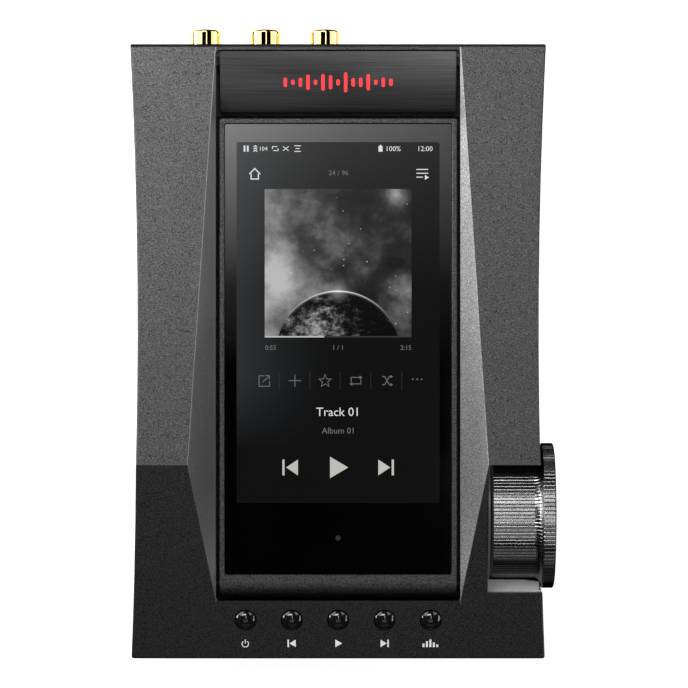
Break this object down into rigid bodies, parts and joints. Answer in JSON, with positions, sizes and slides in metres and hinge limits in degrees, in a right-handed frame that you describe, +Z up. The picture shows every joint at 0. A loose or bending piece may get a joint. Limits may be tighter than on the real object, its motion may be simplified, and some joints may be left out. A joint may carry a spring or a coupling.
{
  "type": "digital audio player",
  "caption": "Desktop digital audio player: faceted metal case lying flat, tilting touch display, knurled volume wheel, round front keys, headphone jacks and gold RCA sockets.",
  "frame": {"origin": "centre of the base pad underside, on the desk", "axes": "+Z up through the screen, +Y towards the rear RCA sockets, +X towards the volume wheel"},
  "size_m": [0.1046, 0.1565, 0.0454],
  "materials": {
    "cover_anodised": "fine bead-blasted dark grey anodising",
    "housing_black": "black anodised",
    "panel_black": "fine-grained matt black",
    "pad_rubber": "matt black",
    "screw_steel": "blackened",
    "strip_brushed": "brushed, black anodised",
    "lens_red": "translucent red light guide",
    "inner_plastic": "moulded",
    "board_green": "circuit board with green solder resist",
    "frame_anodised": "bead-blasted dark grey anodising",
    "display_glass": "polished, black printed border",
    "lcd_black": "black panel",
    "frame_back": "moulded black back",
    "pin_steel": "ground",
    "tray_black": "moulded black",
    "bracket_steel": "pressed sheet",
    "wheel_machined": "machined, fine straight knurl, dark anodised",
    "wheel_cap_dark": "turned, black anodised",
    "bush_brass": "turned",
    "light_ring": "translucent light guide",
    "key_gloss": "polished black dome",
    "rca_gold": "polished gold plating",
    "contact_gold": "gold plating",
    "socket_insert": "moulded insulator",
    "socket_shell": "dark nickel plating",
    "jack_body": "moulded jack housing",
    "ring_gold": "gold plated trim ring",
    "shield_tin": "tinned",
    "capacitor_can": "bright can",
    "standoff_brass": "turned",
    "battery_wrap": "heat-shrunk wrap"
  },
  "bodies": {
    "chassis": {"top_cover": "cover_anodised", "lower_housing": "housing_black", "rear_panel": "panel_black", "front_panel": "panel_black", "base_pad": "pad_rubber", "housing_screws": "screw_steel", "accent_strip": "strip_brushed", "indicator_lens": "lens_red", "strip_carrier": "inner_plastic", "indicator_board": "board_green", "display_well_tray": "tray_black", "hinge_bracket_left": "bracket_steel", "hinge_bracket_right": "bracket_steel", "hinge_screws": "screw_steel", "wheel_bush": "bush_brass", "volume_encoder": "inner_plastic", "wheel_light_ring": "light_ring", "key_board": "board_green", "key_switches": "inner_plastic", "rca_shell_1": "rca_gold", "rca_shell_2": "rca_gold", "rca_shell_3": "rca_gold", "rca_insulators": "socket_insert", "rca_centre_contacts": "contact_gold", "rca_socket_block": "inner_plastic", "balanced_socket_left": "socket_shell", "balanced_socket_right": "socket_shell", "balanced_socket_inserts": "socket_insert", "usb_c_socket": "socket_shell", "digital_input_jack": "jack_body", "headphone_jack_6_35mm": "jack_body", "headphone_jack_3_5mm": "jack_body", "balanced_jack_2_5mm": "jack_body", "balanced_jack_4_4mm": "jack_body", "jack_rings": "ring_gold", "headphone_board": "board_green", "main_board": "board_green", "amplifier_board": "board_green", "shield_cans": "shield_tin", "amplifier_capacitors": "capacitor_can", "board_standoffs": "standoff_brass", "board_screws": "screw_steel", "battery_pack": "battery_wrap"},
    "display": {"display_frame": "frame_anodised", "cover_glass": "display_glass", "lcd_module": "lcd_black", "display_board": "board_green", "display_back_cover": "frame_back", "back_cover_screws": "screw_steel", "hinge_pins": "pin_steel"},
    "wheel": {"volume_wheel": "wheel_machined", "wheel_cap": "wheel_cap_dark", "wheel_shaft": "pin_steel"},
    "power_button": {"power_key": "key_gloss"},
    "previous_button": {"previous_key": "key_gloss"},
    "play_button": {"play_key": "key_gloss"},
    "next_button": {"next_key": "key_gloss"},
    "amplifier_button": {"amplifier_key": "key_gloss"}
  },
  "joints": [
    {"name": "display_tilt", "type": "hinge", "parent": "chassis", "child": "display", "pos_m": [0, -0.0573, 0.0297], "axis": [1, 0, 0], "range_deg": [0, 60]},
    {"name": "wheel_turn", "type": "hinge", "parent": "chassis", "child": "wheel", "pos_m": [0.044, -0.04075, 0.0275], "axis": [1, 0, 0], "continuous": true},
    {"name": "power_button_press", "type": "slide", "parent": "chassis", "child": "power_button", "axis": [0, 0.2979, -0.9546], "range_m": [0, 0.0004], "stiffness_N_per_m": 600, "springref_m": -0.0006},
    {"name": "previous_button_press", "type": "slide", "parent": "chassis", "child": "previous_button", "axis": [0, 0.2979, -0.9546], "range_m": [0, 0.0004], "stiffness_N_per_m": 600, "springref_m": -0.0006},
    {"name": "play_button_press", "type": "slide", "parent": "chassis", "child": "play_button", "axis": [0, 0.2979, -0.9546], "range_m": [0, 0.0004], "stiffness_N_per_m": 600, "springref_m": -0.0006},
    {"name": "next_button_press", "type": "slide", "parent": "chassis", "child": "next_button", "axis": [0, 0.2979, -0.9546], "range_m": [0, 0.0004], "stiffness_N_per_m": 600, "springref_m": -0.0006},
    {"name": "amplifier_button_press", "type": "slide", "parent": "chassis", "child": "amplifier_button", "axis": [0, 0.2979, -0.9546], "range_m": [0, 0.0004], "stiffness_N_per_m": 600, "springref_m": -0.0006}
  ]
}
